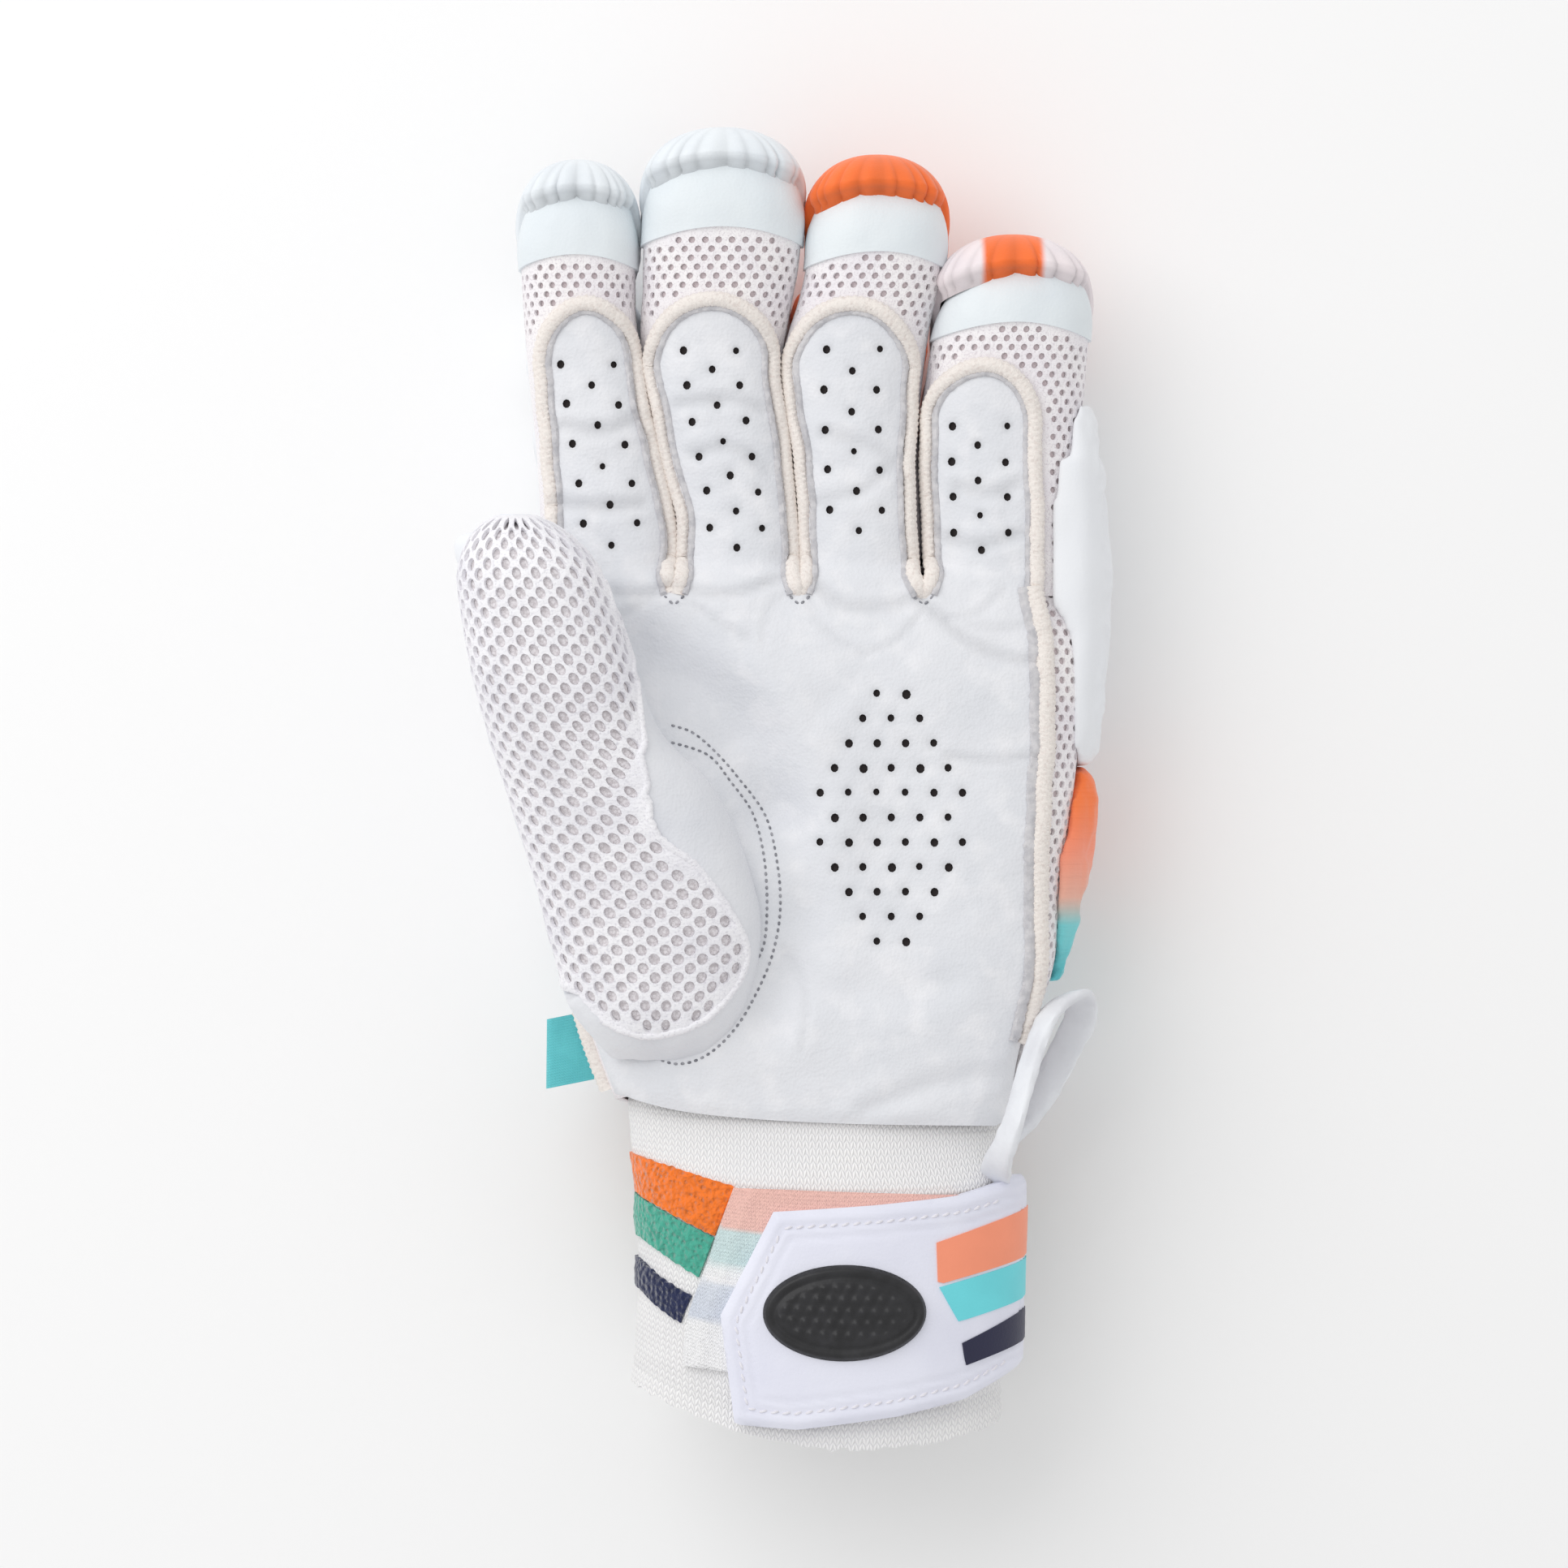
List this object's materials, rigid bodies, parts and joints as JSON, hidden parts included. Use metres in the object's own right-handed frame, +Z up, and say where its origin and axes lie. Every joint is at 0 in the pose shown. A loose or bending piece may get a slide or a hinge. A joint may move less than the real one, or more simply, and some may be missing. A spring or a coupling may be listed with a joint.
{
  "type": "cricket batting glove",
  "caption": "Left-hand padded batting glove with ventilated leather palm, mesh thumb, gathered finger tips, back rolls and knit cuff with closing strap.",
  "frame": {"origin": "on the surface under the middle of the glove's bounding box", "axes": "+Z up out of the palm, +Y towards the fingertips, -X towards the thumb"},
  "size_m": [0.1376, 0.2798, 0.0701],
  "materials": {
    "palm_leather": "soft matt sheepskin, grey-white",
    "tip_leather": "smooth bluish-white leather",
    "mesh": "fine knitted mesh, pinkish white",
    "spacer_mesh": "spacer mesh with oval cells",
    "binding": "cream knitted binding",
    "pad_white": "white coated padding skin",
    "pad_orange": "orange covered padding",
    "pad_coral": "coral covered padding",
    "pad_teal": "turquoise covered padding",
    "pad_blend": "padding skin blending from orange through coral to turquoise",
    "knit": "white knit elastic with terry stripes",
    "loop_tape": "brushed loop tape in pale bands",
    "strap": "smooth white strap with a lavender tint",
    "grip": "raised black moulded rubber",
    "ribbon": "turquoise woven ribbon"
  },
  "bodies": {
    "root": {"palm_leather": "palm_leather", "hand_body": "mesh", "side_bar": "pad_white", "outer_roll": "pad_blend", "index_gusset": "mesh", "index_tip_wrap": "tip_leather", "index_tip_roll": "pad_white", "index_roll_1": "pad_white", "index_roll_2": "pad_white", "index_roll_3": "pad_white", "index_binding": "binding", "middle_gusset": "mesh", "middle_tip_wrap": "tip_leather", "middle_tip_roll": "pad_white", "middle_roll_1": "pad_white", "middle_roll_2": "pad_white", "middle_roll_3": "pad_white", "middle_binding": "binding", "ring_gusset": "mesh", "ring_tip_wrap": "tip_leather", "ring_tip_roll": "pad_orange", "ring_roll_1": "pad_teal", "ring_roll_2": "pad_coral", "ring_roll_3": "pad_orange", "ring_binding": "binding", "little_gusset": "mesh", "little_tip_wrap": "tip_leather", "little_tip_roll": "pad_white", "little_roll_1": "pad_white", "little_roll_2": "pad_white", "little_roll_3": "pad_white", "little_binding": "binding", "back_roll_1_inner": "pad_white", "back_roll_1_outer": "pad_white", "back_roll_2_inner": "pad_white", "back_roll_2_outer": "pad_white", "back_roll_3_inner": "pad_white", "back_roll_3_outer": "pad_white", "back_roll_4_inner": "pad_white", "back_roll_4_outer": "pad_white", "thumb_mesh": "spacer_mesh", "thumb_leather": "palm_leather", "thumb_back": "pad_white", "thumb_roll_1": "pad_white", "thumb_roll_2": "pad_white", "thumb_roll_3": "pad_white", "outer_binding": "binding", "thumb_side_binding": "binding", "wrist_cuff": "knit", "loop_tape": "loop_tape", "wrist_strap": "strap", "grip_patch": "grip", "side_loop": "pad_white", "ribbon_tab": "ribbon"}
  },
  "joints": []
}
